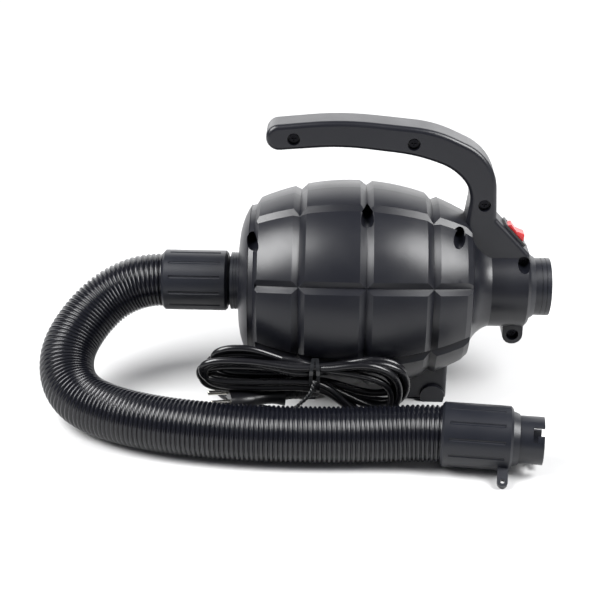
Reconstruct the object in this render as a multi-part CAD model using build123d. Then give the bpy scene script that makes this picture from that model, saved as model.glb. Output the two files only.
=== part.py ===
"""Electric air mattress pump: a barrel-shaped clamshell housing with a handle, a series motor and
fan inside it, a corrugated hose on its outlet and a tied mains lead.  Millimetres throughout.

Everything is modelled about the pump's axis: X runs along the axis towards the suction port, with
X = 0 at the barrel's middle groove and Z = 0 on the axis.  The finished pieces are moved to stand
on Z = 0, centred, when they are written.
"""
from build123d import *
import math
import os

# ---------------------------------------------------------------- driving dimensions
# barrel
barrel_peak_r = 102.0        # largest radius of the barrel
barrel_peak_x = -13.0        # where that radius is
barrel_arc_r = 225.0         # radius of the lengthwise curve
wall = 3.0                   # moulded wall
panel_start_x = -102.0       # grenade-like panels run from here ...
panel_end_x = 95.5           # ... to here
ring_groove_x = (-63.0, 0.0, 63.0)
vee_width = 12.5             # grooves between the panels
vee_depth = 4.5
vee_steep = 1.6              # width of the low wall of a groove that is drafted for the mould
front_face_x = -122.5
front_flat_r = 40.0
front_shoulder_x = -111.5
front_shoulder_drop = 26.0   # below the largest radius
front_groove_x = -106.5      # floor of the groove before the first panel ends here
rear_end_x = 160.0
rear_r = 40.0                # rear housing cylinder
rear_fillet_start_x = 101.0  # concave sweep from the panels to the rear cylinder
rear_fillet_start_drop = 33.0
rear_fillet_mid = (107.5, 50.5)
rear_fillet_end_x = 122.0
rear_chamfer = 3.0

# stand
ground_gap = 7.5             # barrel above the floor
foot_x = (-63.0, 64.0)
foot_length = 40.0
foot_half_width = 39.0
foot_top_z = -60.0           # inside the barrel
foot_toe_r = 12.0            # round boss at the foot of each side
foot_toe_t = 4.0
foot_corner_r = 4.0
foot_chamfer = 3.0

# handle
handle_half_width = 15.5
handle_edge_r = 4.5

# ports
port_bore_r = 22.2           # takes the hose cuff's spigot
port_ring_wall = 6.1
port_clearance = 0.15
outlet_length = 9.0          # ring standing out of the front face
inlet_length = 21.5
collar_neck_wall = 3.8       # the collars pass through the end walls and seat behind them
collar_flange_lip = 6.0
collar_flange_t = 3.0
rear_neck_wall = 2.4
rear_flange_lip = 2.2
port_shoulder_depth = 3.2    # the suction bore ends on this shoulder
port_step_length = 6.0
guard_bar = 2.0              # bars of the inlet guard, their pitch and its rim
guard_pitch = 5.6
guard_rim = 4.0
guard_t = 2.0

# switch
bezel_length = 30.0
bezel_width = 18.0
bezel_t = 2.5
bezel_lip = 1.8              # how far the bezel covers the housing round its opening
rocker_r = 12.0              # its ends are round about its pivot
rocker_width = 11.0
rocker_gap = 0.4
rocker_pivot = -2.0          # pivot below the switch face
rocker_crest = 4.5           # middle of its dished top above the switch face
rocker_rock = 10.0           # half of the rocker's throw, degrees
trunnion_r = 1.5
trunnion_gap = 0.06
switch_body_depth = 20.0
switch_fit = 0.15

# motor and fan unit
shaft_r = 4.0
stack_x = (-24.0, 8.0)
stack_half_y = 36.0
stack_half_z = 42.0
air_gap = 0.5
armature_r = 21.0
armature_slots = 12
commutator_x = (-51.0, -38.0)
commutator_r = 11.0
commutator_bars = 24
bearing_outer_r = 11.0
bearing_w = 7.0
bearing_front_x = -64.0
bearing_rear_x = 15.0
bell_r = 38.0
bell_wall = 2.5
bell_strut_half = 8.5
bell_ear_r = 41.0
bell_ear_t = 3.0
fan_plate_x = 24.0
fan_plate_t = 2.5
shroud_r = 60.0
shroud_t = 1.5
shroud_end_x = 60.0
eye_r = 19.0
impeller_r = 52.0
impeller_x = (37.0, 54.0)
impeller_sheet = 1.2
impeller_blades = 8
spacer_r = 6.0
brush_x = -45.0
brush_size = (6.0, 5.0)
brush_length = 14.0
brush_wall = 0.8
brush_gap = 0.1
brush_cap_t = 1.5
brush_spring_r = 1.8
brush_spring_wire_r = 0.3
mount_rubber_t = 6.0
fit = 0.1                    # seat clearance between pieces that are clamped together

# screws
screw_recess_r = 6.0
screw_head_r = 4.2
screw_head_t = 2.6
motor_screw_head_r = 3.0
screw_r = 2.0
screw_hole_r = 2.3
boss_r = 8.2
seat_y = 9.0                 # depth of the screw seats from the parting plane

# hose
hose_r = 26.3
hose_wall = 4.0
cuff_grip_wall = 3.5
cuff_hose_fit = 0.2
cuff_length = 64.0
spigot_clearance = 0.3
cuff_spigot_length = 22.0
cuff_cone_length = 6.0       # from the free cuff's body to its spigot
pump_cuff_cone = 3.0         # and from the other cuff's body to the pump
cuff_chamfer = 2.2
cuff_ribs = 12
cuff_socket = 18.0           # the hose goes this far into a cuff
cuff_wall = 2.6
cuff_notch = 8.0
ear_reach = 18.0             # tab on the free cuff
ear_width = 9.5
ear_t = 5.0
ear_hole_r = 2.0

# mains lead
cord_r = 3.5
cord_hole_fit = 0.06
gland_neck_wall = 1.5
gland_collar_lip = 2.0
gland_tip_wall = 1.1
gland_length = 24.0
plug_pin_spacing = 19.0
plug_pin_r = 2.4
plug_pin_length = 19.0

# sizes that follow from those above
axis_height = barrel_peak_r + ground_gap
front_shoulder_r = barrel_peak_r - front_shoulder_drop
rear_fillet_start = (rear_fillet_start_x, barrel_peak_r - rear_fillet_start_drop)
port_ring_r = port_bore_r + port_ring_wall
collar_neck_r = port_bore_r + collar_neck_wall
collar_flange_r = collar_neck_r + collar_flange_lip
rear_neck_r = port_bore_r + rear_neck_wall
rear_flange_r = rear_neck_r + rear_flange_lip
port_throat_r = port_bore_r - port_shoulder_depth
cuff_r = hose_r + cuff_grip_wall
cuff_spigot_r = port_bore_r - spigot_clearance
cuff_bore_r = hose_r + cuff_hose_fit
cord_hole_r = cord_r + cord_hole_fit
port_mid_x = (front_face_x - outlet_length + rear_end_x + inlet_length) / 2
in_frame = Location((-port_mid_x, 0, axis_height))



# ---------------------------------------------------------------- small helpers
def rod(r, x0, x1, y=0.0, z=0.0):
    """Round bar along X."""
    plane = Plane((x0, y, z), x_dir=(0, 1, 0), z_dir=(1, 0, 0))
    return extrude(plane * Circle(r), x1 - x0)


def ring(outer, inner, x0, x1, y=0.0, z=0.0):
    """Round tube along X."""
    return rod(outer, x0, x1, y, z) - rod(inner, x0 - 1, x1 + 1, y, z)


def rod_y(r, y0, y1, x, z):
    """Round bar along Y."""
    plane = Plane((x, y0, z), x_dir=(1, 0, 0), z_dir=(0, 1, 0))
    return extrude(plane * Circle(r), y1 - y0)


def block(x0, x1, y0, y1, z0, z1):
    """Box between two corners."""
    size = Box(x1 - x0, y1 - y0, z1 - z0)
    return Pos((x0 + x1) / 2, (y0 + y1) / 2, (z0 + z1) / 2) * size


def around_axis(shape, angle):
    """Turn a shape about the pump's axis."""
    return shape.rotate(Axis.X, angle)


def write(name, shape):
    """Move a finished piece into the pump's own frame and write it."""
    solids = shape.solids()
    placed = [in_frame * s for s in solids]
    whole = placed[0] if len(placed) == 1 else Compound(children=placed)
    whole.label = name
    export_step(whole, f"parts/{name}.step")
    print(f"{name}: {len(solids)} solid(s), {sum(s.volume for s in solids) / 1000:.2f} cm3")


os.makedirs("parts", exist_ok=True)


# ---------------------------------------------------------------- barrel
def panel_r(x):
    """Radius of the barrel's panels at X."""
    drop = math.sqrt(barrel_arc_r ** 2 - (x - barrel_peak_x) ** 2)
    return barrel_peak_r - barrel_arc_r + drop


def panel_arc(x0, x1, inset):
    """Lengthwise curve of a panel row, drawn in by inset."""
    xm = (x0 + x1) / 2
    return ThreePointArc(
        (x0, panel_r(x0) - inset), (xm, panel_r(xm) - inset), (x1, panel_r(x1) - inset)
    )


def barrel_of_revolution(inset):
    """The barrel and rear housing with their ring grooves, drawn in by inset all over."""
    edges = []
    start = (front_face_x + inset, 0)
    flat_end = (front_face_x + inset, front_flat_r)
    shoulder = (front_shoulder_x, front_shoulder_r - inset)
    edges.append(Line(start, flat_end))
    edges.append(
        ThreePointArc(flat_end, (front_face_x + inset + 3.2, 60.0 - inset * 0.4), shoulder)
    )
    floor = (front_groove_x, front_shoulder_r + 0.6 - inset)
    edges.append(Line(shoulder, (front_shoulder_x + 0.5, front_shoulder_r - 0.6 - inset)))
    edges.append(Line((front_shoulder_x + 0.5, front_shoulder_r - 0.6 - inset), floor))
    x = panel_start_x
    edges.append(Line(floor, (x, panel_r(x) - inset)))
    for groove in ring_groove_x:
        left, right = groove - vee_width / 2, groove + vee_width / 2
        edges.append(panel_arc(x, left, inset))
        bottom = (groove, panel_r(groove) - vee_depth - inset)
        edges.append(Line((left, panel_r(left) - inset), bottom))
        edges.append(Line(bottom, (right, panel_r(right) - inset)))
        x = right
    edges.append(panel_arc(x, panel_end_x, inset))
    fillet_start = (rear_fillet_start[0], rear_fillet_start[1] - inset)
    fillet_mid = (rear_fillet_mid[0] - inset * 0.7, rear_fillet_mid[1] - inset * 0.7)
    fillet_end = (rear_fillet_end_x, rear_r - inset)
    edges.append(Line((panel_end_x, panel_r(panel_end_x) - inset), fillet_start))
    edges.append(ThreePointArc(fillet_start, fillet_mid, fillet_end))
    end_x = rear_end_x - inset
    edges.append(Line(fillet_end, (end_x - rear_chamfer, rear_r - inset)))
    edges.append(Line((end_x - rear_chamfer, rear_r - inset), (end_x, rear_r - inset - rear_chamfer)))
    edges.append(Line((end_x, rear_r - inset - rear_chamfer), (end_x, 0)))
    edges.append(Line((end_x, 0), start))
    return revolve(make_face(edges), Axis.X, 360)


def lengthwise_groove(angle, inset):
    """A groove along the barrel at an angle up from the near side, as a cutter.  The grooves near
    the top and bottom have one steep wall, so that the mould half can be drawn along Y."""
    steep = abs(math.sin(math.radians(angle))) > 0.7
    half = vee_width / 2
    low = vee_steep if steep else half
    high = half + (half - vee_steep) * 0.5 if steep else half
    above = 12.0
    depth = vee_depth + inset
    # the triangle, across the groove and outwards, at the arc's middle
    scale = (depth + above) / vee_depth
    pts = [(0, -depth), (high * scale, above), (-low * scale, above)]
    plane = Plane((barrel_peak_x, 0, 0), x_dir=(0, 1, 0), z_dir=(1, 0, 0))
    outline = Polyline([(u, barrel_peak_r + r) for u, r in pts], close=True)
    face = plane * make_face(outline)
    centre = (barrel_peak_x, 0, barrel_peak_r - barrel_arc_r)
    reach = barrel_arc_r
    back = math.degrees(math.asin((panel_start_x - barrel_peak_x - 3.0) / reach))
    ahead = math.degrees(math.asin((panel_end_x - barrel_peak_x + 12.0) / reach))
    face = face.rotate(Axis(centre, (0, 1, 0)), back)
    cutter = revolve(face, Axis(centre, (0, 1, 0)), ahead - back)
    # face now stands at the top, Y across; tip it to its angle about the pump's axis
    if math.sin(math.radians(angle)) < 0:
        cutter = cutter.mirror(Plane.XZ)
    return around_axis(cutter, 90 - angle)


def barrel_solid(inset):
    """Barrel and rear housing with every groove, drawn in by inset."""
    body = barrel_of_revolution(inset)
    for side in (0, 180):
        for angle in (67.5, 22.5, -22.5, -67.5):
            cutter = lengthwise_groove(angle, inset)
            if side:
                cutter = cutter.mirror(Plane.XZ)
            body = body - cutter
    return body


# ---------------------------------------------------------------- handle and web
# corners of the handle's side view, in X and Z, each with the radius that rounds it
handle_corners = [
    (-96.0, 166.0, 12.0),        # free end, top
    (-25.0, 173.3, 300.0),
    (62.0, 165.0, 115.0),
    (120.0, 138.0, 52.0),
    (124.3, 77.0, 4.0),          # top of the switch face
    (rear_end_x - 1.0, 40.0, 3.0),
    (rear_end_x - 1.0, 18.0, 2.0),
    (95.0, 18.0, 2.0),
    (95.0, 72.0, 60.0),
    (99.5, 105.5, 32.0),         # crook of the hand gap
    (80.0, 127.0, 54.0),
    (45.0, 139.5, 160.0),
    (-25.0, 147.2, 240.0),
    (-96.0, 141.2, 12.0),        # free end, underside
]


def handle_outline(inset):
    """Side view of the handle and its web, drawn in by inset."""
    points = [(x, z) for x, z, _ in handle_corners]
    radii = [r for _, _, r in handle_corners]
    face = make_face(FilletPolyline(*points, radius=radii, close=True).edges())
    if inset:
        face = offset(face, -inset, kind=Kind.INTERSECTION)
    return face


def handle_solid(inset):
    """The handle and web, thickness along Y."""
    half = handle_half_width - inset
    plane = Plane((0, half, 0), x_dir=(1, 0, 0), z_dir=(0, -1, 0))
    return extrude(plane * handle_outline(inset), 2 * half)


def foot_solid(x, inset):
    """Pedestal foot under the barrel."""
    half = foot_length / 2 - inset
    width = foot_half_width - inset
    low = -axis_height + inset
    body = block(x - half, x + half, -width, width, low, foot_top_z)
    if not inset:
        body = fillet(body.edges().filter_by(Axis.Z), foot_corner_r)
        body = chamfer(body.faces().sort_by(Axis.Z)[0].edges(), foot_chamfer)
        reach = foot_half_width + foot_toe_t
        toe = rod_y(foot_toe_r, -reach, reach, x + foot_toe_r / 2, low + foot_toe_r / 2)
        body = body + (toe & block(x - half, x + half + foot_toe_r, -reach, reach, low, foot_top_z))
    return body


def screw_post(x, z, r):
    """Round post along Y, through the whole housing."""
    return rod_y(r, -150, 150, x, z)


# ---------------------------------------------------------------- housing halves
under_boss = (148.2, -45.5)
screw_places = [
    (-107.0, 62.5),
    (0.0, 88.5),
    (87.3, 67.0),
    (153.0, rear_flange_r + 6.2),
    (-70.0, 154.0),
    (42.0, 151.0),
    (111.5, 91.0),
    (-38.0, -86.0),
    (30.0, -86.0),
    under_boss,
]
under_boss_r = 10.0
under_boss_half = 17.0

motor_support_x = (bearing_front_x + 2.0, bearing_front_x + bearing_w)
support_ring_r = 28.0
hub_r = 16.0                 # outside of the front bearing's housing
fan_seal_x = (shroud_end_x - 10.0, shroud_end_x - 5.0)
wire_pass = (-72.0, 6.0)     # Z and radius of the hole for the wires in the fan seal rib

outer_handle = handle_solid(0)
long_edges = [
    e
    for e in outer_handle.edges()
    if abs(abs(e.center().Y) - handle_half_width) < 0.01 and e.center().Z > 50
]
outer_handle = fillet(long_edges, handle_edge_r)
outer = barrel_solid(0) + outer_handle
for x in foot_x:
    outer = outer + foot_solid(x, 0)
lug = rod_y(under_boss_r, -under_boss_half, under_boss_half, *under_boss)
lug_top = block(
    under_boss[0] - under_boss_r, under_boss[0] + under_boss_r,
    -under_boss_half, under_boss_half, under_boss[1], -rear_r + 6,
)
outer = outer + lug + lug_top
print("outer", round(outer.volume / 1000, 1))

inner = barrel_solid(wall) + handle_solid(wall)
for x in foot_x:
    inner = inner + foot_solid(x, wall)
print("inner", round(inner.volume / 1000, 1))

shell = outer - inner


def clipped(shape):
    """Keep the part of an inner rib or post that lies within the housing."""
    return outer & shape


# ribs that carry the motor and seal the fan
front_rib = ring(support_ring_r, hub_r + mount_rubber_t, *motor_support_x)
for k in range(4):
    spoke = block(motor_support_x[0], motor_support_x[1], -2, 2, support_ring_r - 1.5, 130)
    front_rib = front_rib + around_axis(spoke, 45 + 90 * k)
seal_rib = ring(130, shroud_r + mount_rubber_t, *fan_seal_x)
seal_rib = seal_rib - rod(wire_pass[1], fan_seal_x[0] - 1, fan_seal_x[1] + 1, 0, wire_pass[0])

# cups that hold the two port collars behind the end walls
outlet_seat_x = front_face_x + wall
outlet_cup_r = collar_flange_r + 6
outlet_cup = ring(outlet_cup_r, collar_flange_r + 1, outlet_seat_x - 1, outlet_seat_x + collar_flange_t + 3)
outlet_cup = outlet_cup + ring(
    outlet_cup_r, collar_neck_r + 1.5, outlet_seat_x + collar_flange_t + fit, outlet_seat_x + collar_flange_t + 3
)
guard_r = port_bore_r
rear_cup_r = rear_r - wall - 0.5
rear_seat_x = rear_end_x - wall
rear_cup = ring(rear_cup_r, guard_r - 2.5, rear_seat_x - collar_flange_t - 3, rear_seat_x - collar_flange_t - fit)
rear_cup = rear_cup + ring(rear_cup_r, rear_flange_r + 0.6, rear_seat_x - collar_flange_t - 3, rear_seat_x + 1)
for rib in (front_rib, seal_rib, outlet_cup, rear_cup):
    shell = shell + clipped(rib)
for x, z in screw_places:
    shell = shell + clipped(screw_post(x, z, boss_r))
shell = shell - rod(rear_flange_r + 0.3, rear_seat_x - collar_flange_t - fit, rear_seat_x)
shell = shell - rod(collar_neck_r + port_clearance, front_face_x - 1, outlet_seat_x + 1)
shell = shell - rod(rear_neck_r + port_clearance, rear_seat_x - 1, rear_end_x + 1)
print("shell", round(shell.volume / 1000, 1))

# the opening for the switch, square to the sloping face
face_top = Vector(handle_corners[4][0], 0, handle_corners[4][1])
face_end = Vector(handle_corners[5][0], 0, handle_corners[5][1])
face_dir = (face_end - face_top).normalized()
face_middle = face_top + (face_end - face_top) * 0.53
switch_plane = Plane(face_middle, x_dir=face_dir, z_dir=Vector(-face_dir.Z, 0, face_dir.X))


def on_switch(x0, x1, y0, y1, z0, z1):
    """Box in the switch's own directions: along the face, across it, and out of it."""
    return switch_plane * block(x0, x1, y0, y1, z0, z1)


opening_half = bezel_length / 2 - bezel_lip
opening_side = bezel_width / 2 - bezel_lip
shell = shell - on_switch(-opening_half, opening_half, -opening_side, opening_side, -12, 6)

# the cord's way out, low at the outlet end
gland_at = Vector(front_shoulder_x + 1.0, 0, 1.5 - front_shoulder_r)
gland_dir = Vector(-0.62, 0, -0.785).normalized()
gland_plane = Plane(gland_at, x_dir=(0, 1, 0), z_dir=gland_dir)
gland_neck_r = cord_r + gland_neck_wall
gland_collar_r = gland_neck_r + gland_collar_lip
gland_tip_r = cord_r + gland_tip_wall


def on_gland(r, z0, z1):
    """Round bar along the cord's way out."""
    return extrude(gland_plane.offset(z0) * Circle(r), z1 - z0)


gland_block = clipped(on_gland(gland_collar_r + 4, -14, 10))
shell = shell + (gland_block - on_gland(gland_collar_r + fit, -16, -5))
shell = shell - on_gland(gland_neck_r + fit, -12, 20)
shell = shell - on_gland(gland_collar_r + fit, -11, -5)

# screw recesses from the near side, clearance in the near half, pilot holes in the far half
for x, z in screw_places:
    shell = shell - rod_y(screw_recess_r, -150, -seat_y, x, z)
    shell = shell - rod_y(screw_hole_r, -seat_y - 1, 0, x, z)
    shell = shell - rod_y(screw_r + 0.05, -1, 16, x, z)

near = shell & block(-300, 300, -200, 0, -300, 300)
far = shell & block(-300, 300, 0, 200, -300, 300)


def largest(shape):
    """The main solid of a half, without slivers left by its ribs."""
    return shape.solids().sort_by(SortBy.VOLUME)[-1]


print("halves", [round(s.volume) for s in near.solids()], [round(s.volume) for s in far.solids()])
write("housing_near", Part() + largest(near))
write("housing_far", Part() + largest(far))

screws = []
for x, z in screw_places:
    screw = rod_y(screw_head_r, -seat_y - screw_head_t, -seat_y, x, z) + rod_y(screw_r, -seat_y - 1, 14, x, z)
    for turn in (0, 90):
        cross = block(-2.4, 2.4, -seat_y - screw_head_t - 1, -seat_y - screw_head_t + 1.3, -0.5, 0.5)
        screw = screw - Pos(x, 0, z) * cross.rotate(Axis.Y, turn)
    screws.append(screw)
write("housing_screws", Compound(children=[s.solids()[0] for s in screws]))

# ---------------------------------------------------------------- port collars and guard
outlet_back = outlet_seat_x + collar_flange_t
outlet = ring(port_ring_r, port_bore_r, front_face_x - outlet_length, front_face_x)
outlet = outlet + ring(collar_neck_r, port_bore_r, front_face_x, outlet_back)
outlet = outlet + ring(collar_flange_r, port_bore_r, outlet_seat_x, outlet_back)
for x in (front_face_x - 6.2, front_face_x - 3.4):
    outlet = outlet - ring(port_ring_r + 1, port_ring_r - 0.6, x, x + 0.9)
write("outlet_collar", outlet)

port_end_x = rear_end_x + inlet_length
step_x = rear_end_x + port_step_length
port_shoulder_x = rear_end_x + 1.0
port = ring(port_ring_r, port_bore_r, step_x, port_end_x)
cone = Plane((rear_end_x, 0, 0), x_dir=(0, 1, 0), z_dir=(1, 0, 0))
port = port + loft([cone * Circle(port_ring_r + 5.2), cone.offset(step_x - rear_end_x) * Circle(port_ring_r + 1.2)])
port = port + rod(rear_neck_r, rear_seat_x, rear_end_x + 0.5)
port = port + rod(rear_flange_r, rear_seat_x - collar_flange_t, rear_seat_x)
port = port - rod(port_bore_r, port_shoulder_x, port_end_x + 1)
port = port - rod(port_throat_r, rear_seat_x - 10, port_end_x)
port = port - rod(guard_r + fit, rear_seat_x - collar_flange_t - 1, rear_seat_x - collar_flange_t + guard_t)
for x in (port_end_x - 5.0, port_end_x - 9.5):
    port = port - ring(port_ring_r + 1, port_ring_r - 0.5, x, x + 0.8)
write("rear_port_collar", port)

guard_slot = guard_pitch - guard_bar
guard = rod(guard_r, rear_seat_x - collar_flange_t, rear_seat_x - collar_flange_t + guard_t)
for k in range(-3, 4):
    slot = block(
        rear_seat_x - 20, rear_seat_x + 5, k * guard_pitch - guard_slot / 2, k * guard_pitch + guard_slot / 2,
        -guard_r, guard_r,
    )
    bridge = block(-200, 200, -guard_r, guard_r, -guard_bar / 2, guard_bar / 2)
    guard = guard - ((slot & rod(guard_r - guard_rim, rear_seat_x - 20, rear_seat_x + 5)) - bridge)
write("inlet_guard", guard)

# ---------------------------------------------------------------- rocker switch
body_half = opening_half - switch_fit
body_side = opening_side - switch_fit
cavity_half = rocker_r + rocker_gap
cavity_side = rocker_width / 2 + rocker_gap
switch_body = on_switch(-bezel_length / 2, bezel_length / 2, -bezel_width / 2, bezel_width / 2, 0.05, bezel_t)
switch_body = switch_body + on_switch(-body_half, body_half, -body_side, body_side, -switch_body_depth, 0.1)
switch_body = switch_body - on_switch(-cavity_half, cavity_half, -cavity_side, cavity_side, -9, 8)


def pivot_rod(r, half):
    """Round bar through the rocker's pivot, along Y."""
    at = switch_plane.from_local_coords(Vector(0, 0, rocker_pivot))
    return rod_y(r, -half, half, at.X, at.Z)


switch_body = switch_body - pivot_rod(trunnion_r + trunnion_gap, body_side - 0.4)
write("switch_body", switch_body)

rocker_plane = Plane.XZ.offset(-rocker_width / 2)
rocker_round = extrude(rocker_plane * Pos(0, rocker_pivot) * Circle(rocker_r), rocker_width)
rocker_side = Polyline(
    [(-14, -5), (14, -5), (14, rocker_crest + 4.0), (0, rocker_crest), (-14, rocker_crest + 4.0)], close=True
)
rocker_band = extrude(rocker_plane * make_face(rocker_side), rocker_width)
rocker = switch_plane * (rocker_round & rocker_band)
rocker = rocker + pivot_rod(trunnion_r, body_side - 0.6)
pivot_at = switch_plane.from_local_coords(Vector(0, 0, rocker_pivot))
rocker = rocker.rotate(Axis(pivot_at, (0, 1, 0)), -rocker_rock)
write("switch_rocker", rocker)
pivot_out = in_frame * Pos(pivot_at)
print("rocker pivot", pivot_out.position)

terminals = [
    on_switch(x - 3.1, x + 3.1, -0.4, 0.4, -switch_body_depth - 8, -switch_body_depth)
    for x in (-8.0, 0.0, 8.0)
]
write("switch_terminals", Compound(children=[t.solids()[0] for t in terminals]))

# ---------------------------------------------------------------- motor: what stands still
stack = block(stack_x[0], stack_x[1], -stack_half_y, stack_half_y, -stack_half_z, stack_half_z)
stack = fillet(stack.edges().filter_by(Axis.X), 12.0)
stack_bore_r = armature_r + air_gap
stack = stack - rod(stack_bore_r, stack_x[0] - 1, stack_x[1] + 1)
coil_window = (22.5, 30.0)   # Z of the field windings' sides
for side in (1, -1):
    for high in (1, -1):
        slot = block(
            stack_x[0] - 1, stack_x[1] + 1, 8.0 if side > 0 else -30.0, 30.0 if side > 0 else -8.0,
            coil_window[0] if high > 0 else -coil_window[1], coil_window[1] if high > 0 else -coil_window[0],
        )
        stack = stack - slot
tie_rods = [(0, 37.0), (0, -37.0)]
for y, z in tie_rods:
    stack = stack - rod(screw_hole_r, stack_x[0] - 1, stack_x[1] + 1, y, z)
write("field_stator", stack)

coils = []
for high in (1, -1):
    z0, z1 = sorted((high * (coil_window[0] + 0.4), high * (coil_window[1] - 0.4)))
    loop = block(stack_x[0] - 9, stack_x[1] + 9, -29, 29, z0, z1) - block(
        stack_x[0] - 1, stack_x[1] + 1, -9, 9, -50, 50
    )
    coils.append(fillet(loop.edges().filter_by(Axis.Z), 0.9))
write("field_coils", Compound(children=[c.solids()[0] for c in coils]))

bell_x = (bearing_front_x + bearing_w, stack_x[0])


def bell_window(x0, x1, k):
    """One of the four wide windows in a round cover."""
    corner = block(x0, x1, bell_strut_half, bell_r + 2, bell_strut_half, bell_r + 2)
    return around_axis(corner, 90 * k)


def bell_ears(x0, x1):
    """Two lugs that the long screws pass through."""
    return ring(bell_ear_r, bell_r - 1, x0, x1) & block(-200, 200, -7, 7, -50, 50)


front_bell = ring(bell_r, bell_r - bell_wall, *bell_x) + rod(bell_r, bell_x[0], bell_x[0] + bell_wall)
for k in range(4):
    front_bell = front_bell - bell_window(bell_x[0] - 1, bell_x[1] + 1, k)
front_bell = front_bell + rod(hub_r, bearing_front_x - 1.5, bell_x[0] + 1.5)
front_bell = front_bell - rod(bearing_outer_r, bearing_front_x, bell_x[0] + 0.1)
front_bell = front_bell - rod(shaft_r + 2.2, bearing_front_x - 3, bell_x[1])
front_bell = front_bell + bell_ears(bell_x[1] - bell_ear_t, bell_x[1])
for y, z in tie_rods:
    front_bell = front_bell - rod(screw_hole_r, bell_x[1] - 20, bell_x[1] + 1, y, z)
holder_half = (brush_size[0] / 2 + brush_wall, brush_size[1] / 2 + brush_wall)
holder_y = (14.0, bell_r + 3.0)
for side in (1, -1):
    y0, y1 = sorted((side * 30, side * (holder_y[1] + 4)))
    front_bell = front_bell - block(
        brush_x - holder_half[0] - fit, brush_x + holder_half[0] + fit, y0, y1,
        -holder_half[1] - fit, holder_half[1] + fit,
    )
for y, z in tie_rods:
    front_bell = front_bell - rod(motor_screw_head_r + 0.4, bell_x[0] + 5, bell_x[1] - bell_ear_t, y, z)
write("front_end_bell", front_bell)

rear_hub_x = bearing_rear_x + bearing_w
rear_bracket = ring(bell_r, bell_r - bell_wall, stack_x[1], fan_plate_x)
for k in range(4):
    rear_bracket = rear_bracket - bell_window(stack_x[1] - 1, fan_plate_x - 2, k)
rear_bracket = rear_bracket + rod(shroud_r - shroud_t - fit, fan_plate_x, fan_plate_x + fan_plate_t)
rear_bracket = rear_bracket + rod(14.0, bearing_rear_x, fan_plate_x + 0.5)
rear_bracket = rear_bracket - rod(bearing_outer_r, bearing_rear_x - 0.1, rear_hub_x)
rear_bracket = rear_bracket - rod(spacer_r + 0.7, bearing_rear_x - 1, fan_plate_x + 5)
for k in range(8):
    vent = rod(4.0, fan_plate_x - 1, fan_plate_x + 4, 0, 24)
    rear_bracket = rear_bracket - around_axis(vent, 45 * k + 22.5)
rear_bracket = rear_bracket + bell_ears(stack_x[1], stack_x[1] + bell_ear_t)
for y, z in tie_rods:
    rear_bracket = rear_bracket - rod(screw_r + 0.05, stack_x[1] - 1, fan_plate_x - 1, y, z)
write("rear_bracket", rear_bracket)

long_screws = []
for y, z in tie_rods:
    head_x = bell_x[1] - bell_ear_t
    bolt = rod(screw_r, head_x, stack_x[1] + 10, y, z)
    bolt = bolt + rod(motor_screw_head_r, head_x - screw_head_t, head_x, y, z)
    long_screws.append(bolt.solids()[0])
write("motor_screws", Compound(children=long_screws))



def beside_commutator(side, y0, y1, half_x, half_z):
    """Box out along one side of the commutator."""
    low, high = sorted((side * y0, side * y1))
    return block(brush_x - half_x, brush_x + half_x, low, high, -half_z, half_z)


holders, caps, brushes, springs = [], [], [], []
brush_near = commutator_r + 0.08
brush_half = (brush_size[0] / 2, brush_size[1] / 2)
holder_bore = (brush_half[0] + brush_gap, brush_half[1] + brush_gap)
helix_start = brush_near + brush_length + 0.4
helix_end = holder_y[1] - 0.55
helix = Helix(pitch=3.0, height=helix_end - helix_start, radius=brush_spring_r)
helix_section = Plane(helix @ 0, z_dir=helix % 0) * Circle(brush_spring_wire_r)
spring = sweep(helix_section, path=helix, is_frenet=True)
for side in (1, -1):
    outside = beside_commutator(side, *holder_y, *holder_half)
    inside = beside_commutator(side, holder_y[0] - 1, holder_y[1] + 1, *holder_bore)
    holders.append(outside - inside)
    caps.append(beside_commutator(side, holder_y[1], holder_y[1] + brush_cap_t, *holder_half))
    brush = beside_commutator(side, 9.0, brush_near + brush_length, *brush_half)
    brushes.append(brush - rod(brush_near, brush_x - 10, brush_x + 10))
    turned = Plane((brush_x, side * helix_start, 0), x_dir=(1, 0, 0), z_dir=(0, side, 0)) * spring
    springs.append(turned)
write("brush_holders", Compound(children=[h.solids()[0] for h in holders]))
write("brush_caps", Compound(children=[c.solids()[0] for c in caps]))
write("carbon_brushes", Compound(children=[b.solids()[0] for b in brushes]))
write("brush_springs", Compound(children=[s.solids()[0] for s in springs]))

# ---------------------------------------------------------------- fan casing
shroud = ring(shroud_r, shroud_r - shroud_t, fan_plate_x, shroud_end_x)
shroud = shroud + ring(shroud_r, eye_r, shroud_end_x - shroud_t, shroud_end_x)
write("fan_shroud", shroud)

diffuser_x = (fan_plate_x + fan_plate_t, impeller_x[0] - 2.0)
diffuser = ring(impeller_r, 14.0, diffuser_x[1] - 1.6, diffuser_x[1])
for k in range(10):
    vane = block(diffuser_x[0], diffuser_x[1], -0.8, 0.8, 20, impeller_r - 4)
    vane = vane.rotate(Axis((0, 0, 34), (1, 0, 0)), 35)
    diffuser = diffuser + around_axis(vane, 36 * k)
write("diffuser", diffuser)

rubber_x = (fan_seal_x[0] - 1.0, fan_seal_x[1] + 2.0)
seal_ring = ring(shroud_r + mount_rubber_t - fit, shroud_r + 0.05, *rubber_x)
write("fan_seal_ring", seal_ring)
front_ring = ring(hub_r + mount_rubber_t - fit, hub_r + 0.05, bearing_front_x, bell_x[0] - 0.3)
write("motor_mount_ring", front_ring)

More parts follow.
